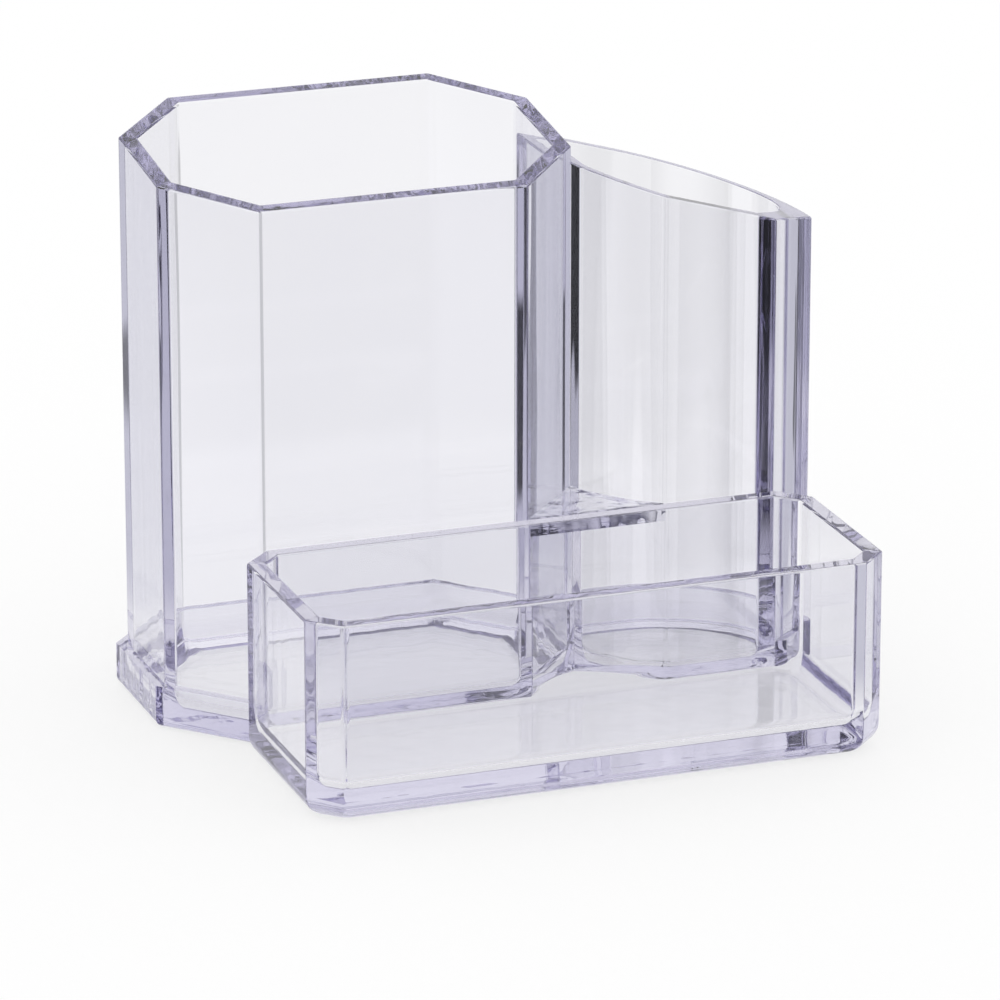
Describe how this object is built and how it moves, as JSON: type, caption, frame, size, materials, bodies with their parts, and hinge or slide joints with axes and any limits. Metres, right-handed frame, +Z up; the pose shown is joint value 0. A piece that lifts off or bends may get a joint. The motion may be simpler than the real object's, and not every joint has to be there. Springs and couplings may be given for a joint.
{
  "type": "makeup brush holder",
  "caption": "Clear plastic makeup brush holder with a tall octagonal cup, a curved cup with a slanted rim and a low front tray.",
  "frame": {"origin": "centre of the bounding box's bottom, on the surface that the holder stands on", "axes": "+X to the right along the tray, +Y to the back, +Z up"},
  "size_m": [0.1274, 0.0992, 0.1073],
  "materials": {
    "clear_plastic": "clear, polished, with a faint lavender tint"
  },
  "bodies": {
    "root": {"front_tray": "clear_plastic", "tall_octagonal_cup": "clear_plastic", "curved_cup": "clear_plastic", "base_collar": "clear_plastic", "bridge_web": "clear_plastic"}
  },
  "joints": []
}
